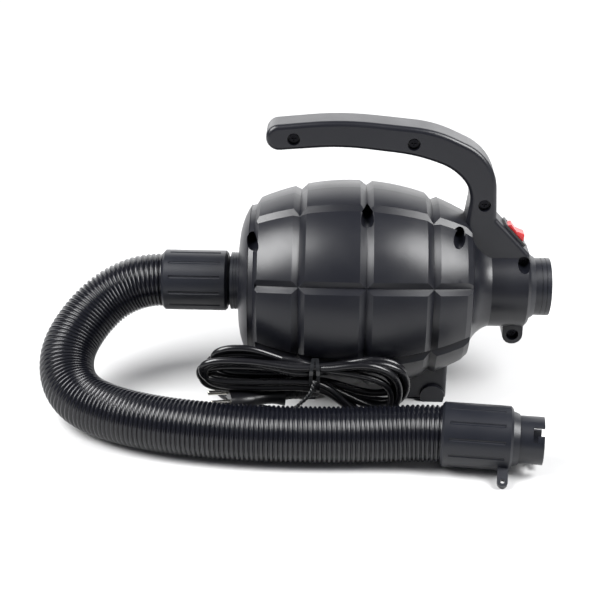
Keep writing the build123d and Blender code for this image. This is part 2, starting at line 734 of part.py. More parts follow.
# ---------------------------------------------------------------- rotor: what turns
core = rod(armature_r, *stack_x)
for k in range(armature_slots):
    slot = block(stack_x[0] - 1, stack_x[1] + 1, -2.0, 2.0, 12.0, armature_r - 2.5)
    mouth = block(stack_x[0] - 1, stack_x[1] + 1, -0.9, 0.9, armature_r - 4, armature_r + 1)
    core = core - around_axis(slot + mouth, 360 / armature_slots * k)
core = core - rod(shaft_r, stack_x[0] - 1, stack_x[1] + 1)
write("armature_core", core)

winding_r = (armature_r - 2.5, 9.0)
winding = ring(*winding_r, stack_x[0] - 8, stack_x[0]) + ring(*winding_r, stack_x[1], stack_x[1] + 6)
for k in range(armature_slots):
    bar = block(stack_x[0] - 1, stack_x[1] + 1, -1.8, 1.8, 12.3, armature_r - 2.8)
    winding = winding + around_axis(bar, 360 / armature_slots * k)
write("armature_winding", winding)

commutator = ring(commutator_r, shaft_r, *commutator_x)
for k in range(commutator_bars):
    cut = block(commutator_x[0] - 1, commutator_x[1] + 1, -0.3, 0.3, commutator_r - 1.2, commutator_r + 1)
    commutator = commutator - around_axis(cut, 360 / commutator_bars * k)
commutator = commutator + ring(commutator_r + 1.5, shaft_r, commutator_x[1], commutator_x[1] + 2)
write("commutator", commutator)

impeller_hub_r = 9.0
nut_x = (impeller_x[1] + 0.5, impeller_x[1] + 6.0)
shaft = rod(shaft_r, bearing_front_x, nut_x[1] + 2)
shaft = shaft + ring(5.5, shaft_r - 1, bearing_front_x + bearing_w, bearing_front_x + bearing_w + 3)
shaft = chamfer(shaft.faces().sort_by(Axis.X)[-1].edges(), 0.8)
write("rotor_shaft", shaft)

race_r = (6.0, 9.2)
ball_r = (race_r[1] - race_r[0]) / 2 + 0.55
ball_orbit = (race_r[0] + race_r[1]) / 2
outer_races, inner_races, balls = [], [], []
for x0 in (bearing_front_x, bearing_rear_x):
    middle = Pos(x0 + bearing_w / 2, 0, 0)
    groove = middle * Torus(ball_orbit, ball_r + 0.05).rotate(Axis.Y, 90)
    outer_races.append(ring(bearing_outer_r, race_r[1], x0, x0 + bearing_w) - groove)
    inner_races.append(ring(race_r[0], shaft_r, x0, x0 + bearing_w) - groove)
    for k in range(7):
        balls.append(around_axis(middle * Pos(0, 0, ball_orbit) * Sphere(ball_r), 360 / 7 * k))
write("bearing_front_outer", outer_races[0])
write("bearing_rear_outer", outer_races[1])
write("bearing_front_inner", inner_races[0])
write("bearing_rear_inner", inner_races[1])
write("bearing_balls", Compound(children=[b.solids()[0] for b in balls]))

back_x = (impeller_x[0], impeller_x[0] + impeller_sheet)
impeller = ring(impeller_r, shaft_r, *back_x)
impeller = impeller + ring(impeller_hub_r, shaft_r, impeller_x[0], impeller_x[1])
front_x = (impeller_x[1] - 3 - impeller_sheet, impeller_x[1] - 3)
impeller = impeller + ring(impeller_r, eye_r - 1.5, *front_x)
for k in range(impeller_blades):
    sweep_arc = ThreePointArc((0, eye_r - 2), (11, 34), (31, 41))
    blade_face = trace(sweep_arc, impeller_sheet)
    plane = Plane((back_x[1] - 0.4, 0, 0), x_dir=(0, 1, 0), z_dir=(1, 0, 0))
    blade = extrude(plane * blade_face, front_x[0] - back_x[1] + 0.8)
    impeller = impeller + around_axis(blade, 360 / impeller_blades * k)
write("impeller", impeller)

spacer = ring(spacer_r, shaft_r, rear_hub_x, impeller_x[0])
write("impeller_spacer", spacer)
nut_plane = Plane((nut_x[0] - 0.5, 0, 0), x_dir=(0, 1, 0), z_dir=(1, 0, 0))
nut = extrude(nut_plane * RegularPolygon(6.5, 6), nut_x[1] - nut_x[0])
nut = nut - rod(shaft_r, nut_x[0] - 2, nut_x[1] + 2)
write("impeller_nut", nut)

# ---------------------------------------------------------------- mains side, inside
gland = on_gland(gland_collar_r, -11 + fit, -5 - fit) + on_gland(gland_neck_r, -14, 4)
gland_root = gland_plane.offset(2.4) * Circle(gland_collar_r + 0.5)
gland = gland + loft([gland_root, gland_plane.offset(gland_length) * Circle(gland_tip_r)])
for k in range(3):
    z0 = 7.5 + 5.0 * k
    gland = gland - (on_gland(gland_collar_r + 2, z0, z0 + 1.6) - on_gland(gland_tip_r - 0.1, z0 - 1, z0 + 3))
gland = gland - on_gland(cord_hole_r, -16, gland_length + 1)
write("cord_gland", gland)

inner_end = on_gland(cord_r, -34, -2)
write("cord_end_inside", inner_end)

clamp_z = (-27.0, -19.0)     # where the clamp holds the cord, back from the gland
clamp_seat_t = 5.0
clamp_bar_t = 3.0


def on_clamp(x0, x1, y0, y1):
    """Box beside the cord inside the housing, in the gland's own directions."""
    low, high = clamp_z
    return gland_plane * block(x0, x1, y0, y1, low, high)


# the gland's own x is Y here, and its own y points up along the housing
clamp_half = cord_r + 4.5
clamp_seat = on_clamp(-clamp_half, clamp_half, -cord_r - fit - clamp_seat_t, -cord_r - fit)
clamp_bar = on_clamp(-clamp_half, clamp_half, cord_r + fit, cord_r + fit + clamp_bar_t)
clamp_screws = []
for side in (-1, 1):
    axis_plane = gland_plane * Pos(side * (cord_r + 2.3), 0, (clamp_z[0] + clamp_z[1]) / 2) * Rot(-90, 0, 0)
    shank = axis_plane * Cylinder(1.25, 2 * (cord_r + fit + clamp_bar_t + 0.9))
    head = axis_plane * Pos(0, 0, cord_r + fit + clamp_bar_t + 0.9) * Cylinder(2.4, 1.8)
    clamp_screws.append((shank + head).solids()[0])
    clear = axis_plane * Cylinder(1.3, 40.0)
    clamp_bar = clamp_bar - clear
    clamp_seat = clamp_seat - clear
write("cord_clamp_seat", clamp_seat)
write("cord_clamp_bar", clamp_bar)
write("cord_clamp_screws", Compound(children=clamp_screws))

capacitor = block(stack_x[0] + 4, stack_x[1] - 4, -7, 7, stack_half_z, stack_half_z + 11)
capacitor = fillet(capacitor.edges().filter_by(Axis.X), 1.0)
write("capacitor", capacitor)


def bent_tube(points, r, name, shortest=0.45):
    """A tube along straight runs joined by tangent arcs, each as large as its runs allow."""
    spots = [Vector(*p) for p in points]
    radii = []
    for a, b, c in zip(spots, spots[1:], spots[2:]):
        turn = (b - a).get_angle(c - b)
        run = min((b - a).length, (c - b).length)
        radii.append(shortest * run / math.tan(math.radians(turn / 2)))
    path = FilletPolyline(*spots, radius=radii)
    section = Plane(path @ 0, z_dir=path % 0) * Circle(r)
    tube = sweep(section, path=path)
    share = tube.volume / (math.pi * r * r * path.length)
    print(f"{name}: length {path.length:.0f}, radii {[round(v) for v in radii]}, volume share {share:.4f}")
    return tube, path


wire_r = 1.3
wire_routes = {
    "wire_to_switch": [
        (-84, 5, -46), (-74, 5, -56), (-58, 5, -64), (-30, 5, -70), (0, 4, -72.5), (30, 3, -72),
        (56, 3, -71), (76, 4, -62), (92, 5, -46), (104, 5, -26), (114, 5, -4), (121, 5, 16), (124, 4, 30),
    ],
    "wire_from_switch": [
        (123, -4, 30), (117, -5, 14), (109, -5, -6), (98, -5, -28), (84, -5, -50), (70, -4, -64),
        (54, -3, -71), (30, -3, -73), (4, -4, -74), (-18, -14, -70), (-34, -32, -56), (-43, -46, -32),
        (-45, -47, -10),
    ],
    "wire_to_motor": [
        (-85, 2, -41), (-78, 8, -46), (-68, 20, -50), (-56, 34, -44), (-47, 45, -28), (-45, 47, -10),
    ],
}
for name, route in wire_routes.items():
    tube, _ = bent_tube(route, wire_r, name)
    write(name, tube)

# ---------------------------------------------------------------- hose and its cuffs
cuff_bore_r = hose_r + 0.2


def upright(r, z0, z1):
    """Round bar along Z."""
    return extrude(Plane.XY.offset(z0) * Circle(r), z1 - z0)


def cuff(cone_length):
    """Hose cuff along +Z: hose socket at Z = 0, then body, cone and the spigot with its notches."""
    body = upright(cuff_r, 0, cuff_length)
    body = chamfer(body.edges().filter_by(GeomType.CIRCLE), cuff_chamfer)
    for k in range(cuff_ribs):
        groove = Pos(cuff_r + 0.9, 0, cuff_length / 2) * Cylinder(1.9, cuff_length - 14)
        body = body - groove.rotate(Axis.Z, 360 / cuff_ribs * k)
    cone_z = cuff_length - 0.5
    cone_top = Plane.XY.offset(cuff_length + cone_length) * Circle(cuff_spigot_r + 1.3)
    body = body + loft([Plane.XY.offset(cone_z) * Circle(cuff_spigot_r + 3.7), cone_top])
    top = cuff_length + cone_length + cuff_spigot_length
    body = body + upright(cuff_spigot_r, cuff_length - 1, top)
    body = body - upright(cuff_bore_r, -1, cuff_socket)
    through = cuff_spigot_r - cuff_wall
    body = body - upright(through, -1, top + 1)
    for k in range(3):
        slot = Pos(cuff_spigot_r, 0, top) * Box(12, cuff_notch, 20)
        pocket = Pos(cuff_spigot_r, cuff_notch / 2, top - 8) * Box(12, cuff_notch + 4, 4.5)
        body = body - (slot + pocket).rotate(Axis.Z, 120 * k)
    return body


pump_cuff_end_x = front_face_x - outlet_length
pump_cuff_x = pump_cuff_end_x - pump_cuff_cone - cuff_length
pump_cuff_plane = Plane((pump_cuff_x, 0, 0), x_dir=(0, 0, 1), z_dir=(1, 0, 0))
write("hose_cuff_pump", pump_cuff_plane * cuff(pump_cuff_cone))

free_cuff_at = Vector(71.0, -149.0, cuff_r - axis_height)
free_cuff_yaw = math.radians(5.3)
free_cuff_dir = Vector(math.cos(free_cuff_yaw), -math.sin(free_cuff_yaw), 0)
free_cuff_side = Vector(0, 0, 1).cross(free_cuff_dir)
notch_turn = 53.0
notch_side = free_cuff_side * -math.cos(math.radians(notch_turn))
near_side = notch_side + Vector(0, 0, 1) * math.sin(math.radians(notch_turn))
free_cuff_plane = Plane(free_cuff_at, x_dir=near_side, z_dir=free_cuff_dir)
free_cuff = free_cuff_plane * cuff(cuff_cone_length)
# the ear reaches down to the floor on the near side
ear_tilt = math.radians(34.0)
ear_dir = free_cuff_side * -math.cos(ear_tilt) + Vector(0, 0, -math.sin(ear_tilt))
ear_plane = Plane(free_cuff_at, x_dir=ear_dir, z_dir=free_cuff_dir)
ear_z = cuff_length - 7.5
ear = Pos(cuff_r + ear_reach / 2 - 4, 0, ear_z) * Box(ear_reach + 8, ear_t, ear_width)
ear = fillet(ear.edges().filter_by(Axis.Y), ear_width * 0.45)
ear = ear - Pos(cuff_r + ear_reach - ear_width / 2, 0, ear_z) * Rot(90, 0, 0) * Cylinder(ear_hole_r, 20)
ear = ear - Cylinder(cuff_r - 2.0, 400)
free_cuff = free_cuff + ear_plane * ear
write("hose_cuff_free", free_cuff)

hose_in = 15.0
hose_low = hose_r - axis_height
hose_first = (pump_cuff_x + hose_in, 0, 0)
hose_last = free_cuff_at + free_cuff_dir * hose_in
hose_aim = free_cuff_at - free_cuff_dir * (hose_in - 1)
hose_route = [
    hose_first, (-209, 0, 0), (-234, -1.5, -6.5), (-258, -10, -19.5), (-278, -29, -37),
    (-290, -54, -55), (-286, -80, -71.5), (-269, -102, hose_low + 3), (-243, -118, hose_low + 0.6),
    (-214, -131, hose_low + 0.2), (-177, -141, hose_low + 0.2), (-130, -148, hose_low + 0.1),
    (-78, -151, hose_low + 0.2), (-25, -150, hose_low + 0.1), (23, -147.5, hose_low + 1),
    tuple(hose_aim), tuple(hose_last),
]
hose_tube, hose_path = bent_tube(hose_route, hose_r, "hose")
hose_bore, _ = bent_tube(hose_route, hose_r - hose_wall, "hose bore")
write("hose", hose_tube - hose_bore)

# ---------------------------------------------------------------- plug
plug_face = Vector(-127.0, -106.0, -71.0)
plug_yaw = math.radians(14.0)
plug_drop = math.radians(-3.0)
plug_dir = Vector(-math.cos(plug_yaw), -math.sin(plug_yaw), -math.sin(plug_drop)).normalized()
plug_across = Vector(0, 0, 1).cross(plug_dir).normalized()
plug_plane = Plane(plug_face, x_dir=plug_across, z_dir=plug_dir)
plug_length = 52.0
relief_length = 34.0


def plug_oval(width, height, back):
    """Rounded section of the plug, back from its face."""
    return plug_plane.offset(-back) * RectangleRounded(width, height, height * 0.42)


plug = loft([plug_oval(33, 12, 0), plug_oval(35, 14, 5), plug_oval(30, 14, 22)])
plug = plug + loft([plug_oval(30, 14, 22), plug_oval(21, 13, 38), plug_oval(27, 17, plug_length)])
plug = plug - extrude(plug_plane.offset(-plug_length - 1) * Circle(cord_hole_r), 12)
write("plug_body", plug)

pins = []
for side in (-1, 1):
    at = plug_plane * Pos(side * plug_pin_spacing / 2, 0, 0)
    pin = at * Cylinder(plug_pin_r, plug_pin_length, align=(Align.CENTER, Align.CENTER, Align.MIN))
    tip = pin.edges().filter_by(GeomType.CIRCLE).sort_by(lambda e: (e.center() - plug_face).dot(plug_dir))[-1]
    pins.append(fillet(tip, 1.6).solids()[0])
write("plug_pins", Compound(children=pins))

relief_end = plug_length + relief_length
relief = loft([
    plug_plane.offset(-plug_length) * Circle(cord_r + 2.7),
    plug_plane.offset(-relief_end) * Circle(cord_r + 1.2),
])
for k in range(5):
    back = plug_length + 5.0 + 5.6 * k
    groove = extrude(plug_plane.offset(-back - 2.2) * Circle(9), 2.2)
    spine = extrude(plug_plane.offset(-back - 3) * RectangleRounded(3.4, 20, 0.5), 4)
    kept = extrude(plug_plane.offset(-back - 3) * Circle(cord_r + 0.8), 4)
    relief = relief - (groove - kept - spine)
relief = relief - extrude(plug_plane.offset(-relief_end - 1) * Circle(cord_hole_r), relief_length + 2)
write("plug_relief", relief)

# ---------------------------------------------------------------- mains lead
lead_start = gland_at + gland_dir * (gland_length - 8)
lead_straight = gland_at + gland_dir * (gland_length + 5)
floor_z = cord_r - axis_height + 0.05
lead_route = [
    tuple(lead_start), tuple(lead_straight), (-136, -4, -103.0), (-147, -20, floor_z), (-143, -42, floor_z + 0.1),
    (-122, -59, floor_z), (-94, -69, floor_z), (-66, -77, floor_z + 0.1), (-40, -85, -104), (-14, -92, -100),
    (4, -96, -98),
]
tail_start = plug_face - plug_dir * (plug_length + 14)
tail_straight = plug_face - plug_dir * (plug_length + relief_length + 6)
tail_route = [
    tuple(tail_start), tuple(tail_straight), (-10, -81, -81), (12, -85.5, -84), (31, -94, -79),
]
lead, lead_path = bent_tube(lead_route, cord_r, "cord_lead")
tail, tail_path = bent_tube(tail_route, cord_r, "cord_tail")
write("cord_lead", lead)
write("cord_tail", tail)

# the hank: a bow tie on edge, leaning on the barrel, in two stretches with their own sections
tie_x = -46.0
hank_top = -24.0
hank_low = -106.0
hank_left_low = -64.0
left_outline = [
    (-156, -62), (-157, -34), (-150, -26), (-90, hank_top), (tie_x, -31), (tie_x, -59), (-80, hank_left_low),
]
right_outline = [
    (tie_x, -31), (-18, -25), (30, -22), (45, -36), (47, -88), (36, hank_low), (-4, hank_low), (tie_x, -59),
]
left_section = [(-104, -20), (-120, -20), (-115, -66), (-89, -66)]
right_section = [(-104, -18), (-120, -18), (-113, -108), (-82, -108), (-79, -84), (-89, -66)]


def hank_part(outline, section, x0, x1):
    """A slab with a given front view, cut to a given cross-section."""
    front = extrude(Plane.XZ * make_face(Polyline(outline, close=True)), 200, both=True)
    along_x = Plane((x0, 0, 0), x_dir=(0, 1, 0), z_dir=(1, 0, 0))
    return front & extrude(along_x * make_face(Polyline(section, close=True)), x1 - x0)


hank = hank_part(left_outline, left_section, -160, tie_x) + hank_part(right_outline, right_section, tie_x, 60)
write("cord_hank", hank)

tie_half = 1.6
tie_section = [(-99.6, -30.0), (-118.2, -30.0), (-115.0, -60.0), (-90.0, -60.0)]
tie_t = 1.6
tie_plane = Plane((tie_x - tie_half, 0, 0), x_dir=(0, 1, 0), z_dir=(1, 0, 0))
tie_hole = make_face(Polyline(tie_section, close=True))
tie_face = offset(tie_hole, tie_t, kind=Kind.ARC) - tie_hole
tie_wire, _ = bent_tube([(tie_x, -117.6, -44), (-50, -121.5, -52), (-56, -124, -59), (-62, -125.5, -65)], 1.4, "tie tail")
tie = extrude(tie_plane * tie_face, 2 * tie_half) + tie_wire
write("cord_tie", tie)
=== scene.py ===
# %% [markdown]
# # An electric air mattress pump
#
# A barrel-shaped blow-moulded look, but really two injection-moulded ABS halves screwed together,
# with a corrugated hose on the outlet and a hank of mains lead leaning against it.
# The engineering model comes in first as a fixed frame. Everything made here is placed by that
# frame, in metres, with +X along the pump's axis, -Y towards the hose and +Z up.

import math

import bpy
import numpy as np
from mathutils import Matrix, Vector


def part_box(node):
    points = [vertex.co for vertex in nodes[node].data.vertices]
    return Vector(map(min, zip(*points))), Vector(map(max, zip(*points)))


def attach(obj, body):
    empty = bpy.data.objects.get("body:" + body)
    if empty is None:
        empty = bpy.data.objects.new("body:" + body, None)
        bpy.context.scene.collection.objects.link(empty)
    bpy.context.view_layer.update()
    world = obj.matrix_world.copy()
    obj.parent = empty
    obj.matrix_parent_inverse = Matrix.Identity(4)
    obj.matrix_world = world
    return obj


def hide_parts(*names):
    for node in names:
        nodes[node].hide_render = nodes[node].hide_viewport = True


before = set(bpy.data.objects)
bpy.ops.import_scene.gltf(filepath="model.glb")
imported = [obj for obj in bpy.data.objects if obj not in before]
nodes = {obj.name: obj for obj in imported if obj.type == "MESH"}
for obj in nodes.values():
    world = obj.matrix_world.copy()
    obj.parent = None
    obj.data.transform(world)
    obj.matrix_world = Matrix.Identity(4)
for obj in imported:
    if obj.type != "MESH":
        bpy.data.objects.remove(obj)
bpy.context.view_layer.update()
MM = 0.001

# %% [markdown]
# ## Where things are
#
# The pump's axis and the outlet's end are read from the nodes' boxes, so that a change
# in the engineering model carries through, and the floor is given as a height below the axis.
# The barrel's widest place is a little towards the outlet from its middle groove, and lengths along the axis
# are counted from that groove.

# %% Places taken from the frame
OUTLET_TO_GROOVE = 131.5 * MM
FLOOR_Z = -109.5
outlet_low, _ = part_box("outlet_collar")
port_low, port_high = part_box("rear_port_collar")
AXIS_Z = (port_low[2] + port_high[2]) / 2
GROOVE_X = outlet_low[0] + OUTLET_TO_GROOVE
print("axis height", round(AXIS_Z, 4), "middle groove at", round(GROOVE_X, 4))


def place(x, y, z):
    """A point given in millimetres from the pump's axis and middle groove, in the frame's metres."""
    return (GROOVE_X + x * MM, y * MM, AXIS_Z + z * MM)


# %% [markdown]
# ## The camera
#
# The view is from the front, a little over a quarter of a right angle above the table, from a bit
# over a metre away, as a person standing at a bench sees it. The lens is a short telephoto, which
# keeps the barrel from bulging. The camera is set first, because the cords are judged by what it
# sees of them.

# %% Camera
CAMERA_DISTANCE = 1.300
CAMERA_RISE = 26.56
CAMERA_TURN = 1.49
CAMERA_ROLL = 0.47
CAMERA_LENS = 78.0
LOOK_AT = (-63.3, 0, -20.2)

rise, turn, roll = (math.radians(v) for v in (CAMERA_RISE, CAMERA_TURN, CAMERA_ROLL))
look_at = Vector(place(*LOOK_AT))
back = Vector((math.sin(turn) * math.cos(rise), -math.cos(turn) * math.cos(rise), math.sin(rise)))
camera = bpy.data.objects.new("camera", bpy.data.cameras.new("camera"))
camera.data.lens = CAMERA_LENS
camera.data.clip_start = 0.05
camera.data.clip_end = 30
upright = back.to_track_quat("Z", "Y").to_matrix().to_4x4()
stand = Matrix.Translation(look_at + CAMERA_DISTANCE * back)
camera.matrix_world = stand @ upright @ Matrix.Rotation(roll, 4, "Z")
bpy.context.scene.collection.objects.link(camera)
bpy.context.scene.camera = camera
print("camera at", [round(v, 3) for v in camera.location])

# %% [markdown]
# ## Helpers for finishes
#
# A finish is a small tree of shader nodes. One function adds a node, sets its sockets and joins
# its inputs. Colours are written as the hex codes that a paint card uses, which are sRGB, and one
# function turns them into the linear numbers that the shader wants.

# %% Colours and nodes
def linear(code):
    """The sRGB hex code as linear RGBA. Each channel c is c / 12.92 below 0.04045, and above that
    it is ((c + 0.055) / 1.055)^2.4."""
    channels = [int(code[i:i + 2], 16) / 255 for i in (0, 2, 4)]
    return tuple(c / 12.92 if c <= 0.04045 else ((c + 0.055) / 1.055) ** 2.4 for c in channels) + (1.0,)


def add(material, kind, settings=(), **inputs):
    """Adds one node. Settings are its sockets' numbers and its own options, and inputs are the
    sockets that feed it."""
    node = material.node_tree.nodes.new(kind)
    for name, value in dict(settings).items():
        if name in node.inputs:
            node.inputs[name].default_value = value
        else:
            setattr(node, name, value)
    for name, source in inputs.items():
        material.node_tree.links.new(source, node.inputs[name.replace("_", " ")])
    return node


def finish(name, colour, roughness, **more):
    """A bare Principled finish with its constant numbers on the shader's own sockets."""
    material = bpy.data.materials.new(name)
    material.use_nodes = True
    shader = material.node_tree.nodes["Principled BSDF"]
    shader.inputs["Base Color"].default_value = linear(colour)
    shader.inputs["Roughness"].default_value = roughness
    for key, value in more.items():
        shader.inputs[key.replace("_", " ")].default_value = value
    return material, shader


def tie_in(material, source, target):
    """Joins an output to an input."""
    material.node_tree.links.new(source, target)


DRIFT_SIZE = 0.035


def grain(material, shader, size, height, detail, spread, roughness):
    """A moulded grain: noise with one cell per size metres, as bump of that height in metres, and
    a slow drift of the roughness by spread each way, over patches of DRIFT_SIZE metres."""
    place_on = add(material, "ShaderNodeTexCoord").outputs["Object"]
    fine = add(material, "ShaderNodeTexNoise", {"Scale": 1 / size, "Detail": detail}, Vector=place_on)
    bump = add(material, "ShaderNodeBump", {"Distance": height, "Strength": 1.0}, Height=fine.outputs["Fac"])
    tie_in(material, bump.outputs["Normal"], shader.inputs["Normal"])
    slow = add(material, "ShaderNodeTexNoise", {"Scale": 1 / DRIFT_SIZE, "Detail": 4.0}, Vector=place_on)
    drift = add(
        material, "ShaderNodeMapRange",
        {"From Min": 0.3, "From Max": 0.7, "To Min": roughness - spread, "To Max": roughness + spread},
        Value=slow.outputs["Fac"],
    )
    tie_in(material, drift.outputs["Result"], shader.inputs["Roughness"])


def dress(material, *names):
    """Gives CAD nodes a finish in place of the plain one that they were packed with."""
    for name in names:
        slots = nodes[name].material_slots
        for slot in slots:
            slot.material = material
        if not len(slots):
            nodes[name].data.materials.append(material)


# %% [markdown]
# ## A tube that follows a spline
#
# Both cords start as one smooth NURBS line through their route's points. The evaluated line is
# read back as a row of points, spread evenly by length, and each point gets its own pair of side
# directions. The first direction is level, at right angles to the run, so that the tube's seam
# never twists.

# %% Spline and tube helpers
def nurbs_line(name, points):
    """One open NURBS spline of order 3 with the given control points, in metres."""
    curve = bpy.data.curves.new(name, "CURVE")
    curve.dimensions = "3D"
    spline = curve.splines.new("NURBS")
    spline.points.add(len(points) - 1)
    spline.points.foreach_set("co", np.c_[np.array(points), np.ones(len(points))].ravel())
    spline.order_u = 3
    spline.use_endpoint_u = True
    spline.resolution_u = 16
    return bpy.data.objects.new(name, curve)


def points_of(line, step):
    """The evaluated spline's points, spaced about step metres apart along it."""
    mesh = bpy.data.meshes.new_from_object(line)
    raw = np.empty(len(mesh.vertices) * 3)
    mesh.vertices.foreach_get("co", raw)
    bpy.data.meshes.remove(mesh)
    raw = raw.reshape(-1, 3)
    apart = np.r_[True, np.linalg.norm(np.diff(raw, axis=0), axis=1) > 1e-7]
    raw = raw[apart]
    along = np.r_[0, np.cumsum(np.linalg.norm(np.diff(raw, axis=0), axis=1))]
    count = int(round(along[-1] / step)) + 1
    even = np.linspace(0, along[-1], count)
    spots = np.stack([np.interp(even, along, raw[:, i]) for i in range(3)], axis=1)
    return spots, even


def frames_along(spots):
    """Unit directions at every point of the line: sideways, which is level, and up from it."""
    ahead = np.gradient(spots, axis=0)
    ahead /= np.linalg.norm(ahead, axis=1)[:, None]
    side = np.cross(ahead, (0.0, 0.0, 1.0))
    side /= np.linalg.norm(side, axis=1)[:, None]
    return side, np.cross(side, ahead)


def tube_mesh(name, spots, radii, around):
    """A tube of quads: at each point a ring of `around` corners at the point's radius,
    centre + radius * (side * cos a + up * sin a), joined to the next ring and capped at both ends."""
    side, up = frames_along(spots)
    turn = np.linspace(0, 2 * np.pi, around, endpoint=False)
    rings = spots[:, None] + radii[:, None, None] * (
        side[:, None] * np.cos(turn)[None, :, None] + up[:, None] * np.sin(turn)[None, :, None]
    )
    count = len(spots)
    here = np.arange(count - 1)[:, None] * around + np.arange(around)[None, :]
    over = np.arange(count - 1)[:, None] * around + (np.arange(around)[None, :] + 1) % around
    quads = np.stack([here, over, over + around, here + around], axis=-1).reshape(-1, 4)
    return make_piece(name, rings.reshape(-1, 3), quads, caps=[(0, around, False), (count - 1, around, True)])


def make_piece(name, verts, quads, caps=(), smooth=True):
    """A mesh object from numpy corners and quads; each cap closes one ring with a single face."""
    extra = []
    for ring, around, forward in caps:
        loop = [ring * around + k for k in range(around)]
        extra.append(loop if forward else loop[::-1])
    mesh = bpy.data.meshes.new(name)
    mesh.from_pydata(verts.tolist(), [], quads.tolist() + extra)
    if smooth:
        mesh.polygons.foreach_set("use_smooth", [True] * len(mesh.polygons))
    mesh.validate()
    piece = bpy.data.objects.new(name, mesh)
    bpy.context.scene.collection.objects.link(piece)
    return piece


# %% [markdown]
# ## The hose
#
# The hose leaves the cuff on the outlet, swings down to the floor and comes back past the near
# side of the pump to its loose cuff. Its wall is blown into narrow round-topped ridges with sharp
# valleys between them, a little over two to the centimetre. The outside radius is
# the crest's radius less a share that follows the size of a sine, to the power of one half.

# %% Hose
HOSE_R = 26.3 * MM
RIDGE_PITCH = 4.3 * MM
RIDGE_DEPTH = 3.0 * MM
HOSE_LOW = 26.3 + FLOOR_Z
FREE_CUFF_R = 29.8
HOSE_AROUND = 64
STEPS_PER_RIDGE = 8
FREE_YAW = math.radians(5.3)
free_dir = Vector((math.cos(FREE_YAW), -math.sin(FREE_YAW), 0))
free_at = Vector((71.0, -149.0, FREE_CUFF_R + FLOOR_Z))
hose_points = [
    (-183.5, 0, 0), (-209, 0, 0), (-234, -1.5, -6.5), (-258, -10, -19.5), (-278, -29, -37),
    (-290, -54, -55), (-286, -80, -71.5), (-269, -102, HOSE_LOW + 3), (-243, -118, HOSE_LOW + 0.6),
    (-214, -131, HOSE_LOW + 0.2), (-177, -141, HOSE_LOW + 0.2), (-130, -148, HOSE_LOW + 0.1),
    (-78, -151, HOSE_LOW + 0.2), (-25, -150, HOSE_LOW + 0.1), (23, -147.5, HOSE_LOW + 1),
    tuple(free_at - 14 * free_dir), tuple(free_at + 15 * free_dir),
]
hose_line = nurbs_line("hose_line", [place(*p) for p in hose_points])
hose_spots, hose_along = points_of(hose_line, RIDGE_PITCH / STEPS_PER_RIDGE)
ridge = np.sqrt(np.abs(np.sin(np.pi * hose_along / RIDGE_PITCH)))
hose_radii = HOSE_R - RIDGE_DEPTH * (1 - ridge)
hose_piece = tube_mesh("corrugated_hose", hose_spots, hose_radii, HOSE_AROUND)
print("hose length", round(hose_along[-1], 3), "ridges", int(hose_along[-1] / RIDGE_PITCH))

# %% [markdown]
# ## The mains lead
#
# The lead comes out of the housing low at the outlet end, crosses the floor under the barrel
# and climbs into a hank. The hank is a flat bundle of loops standing on edge against the barrel,
# tied round its middle. Each turn goes left through the tie, folds back sharply, returns through
# the tie and swings round a wider loop on the right. No two turns are the same size, so they fan
# out. The last pass drops behind the others to the plug.

# %% Mains lead
CORD_R = 3.5 * MM
CORD_AROUND = 16
CORD_STEP = 1.6 * MM
gland_at = Vector((-110.5, 0, -74.5))
gland_dir = Vector((-0.62, 0, -0.785)).normalized()
plug_face = Vector((-127.0, -106.0, -71.0))
plug_yaw, plug_drop = math.radians(14.0), math.radians(-3.0)
plug_dir = Vector((-math.cos(plug_yaw), -math.sin(plug_yaw), -math.sin(plug_drop))).normalized()
TIE_X = -46.0
TIE_ROWS = (-35.0, -42.0, -49.0, -56.0)
LAYER = 7.2


def lean(z):
    """Depth of the hank's middle at a height: it leans back against the barrel as it goes down."""
    return -98 - 14 * ((z + 106) / 84) ** 2


def lobe(start, end, reach, middle, half, layer):
    """One side of a turn, from the tie out to reach and back, as a hairpin. Along it, t runs from 0
    to 1, s is the sine and c the cosine of that half turn. x goes out as s. z leaves the start's
    row for middle + half and comes back from middle - half to the end's row, and between them it
    is middle + half * c / sqrt(c^2 + s^2 * |half / reach|), whose bend has a radius of |half|."""
    t = (np.arange(12) + 0.5) / 12
    s, c = np.sin(np.pi * t), np.cos(np.pi * t)
    hairpin = middle + half * c / np.sqrt(c ** 2 + s ** 2 * abs(half / reach))
    row = np.where(t < 0.5, start, end)
    free = np.clip(s / 0.75, 0, 1)
    free = free ** 2 * (3 - 2 * free)
    z = row + (hairpin - row) * free
    return list(zip(TIE_X + reach * s, lean(z) + layer * (1 - 0.2 * s), z))


# left folds: row and layer that a pass goes in by and comes back by, reach, middle and half height
left_folds = [
    (0, -1, 3, -1, -103, -42, 17.5),
    (0, 0, 3, 0, -109, -46, 15.5),
    (1, -1, 2, -1, -106, -39, 14.5),
    (0, 1, 3, 1, -101, -41, 17.0),
    (1, 0, 2, 0, -107, -51, 14.5),
    (1, 1, 2, 1, -96, -33, 17.5),
]
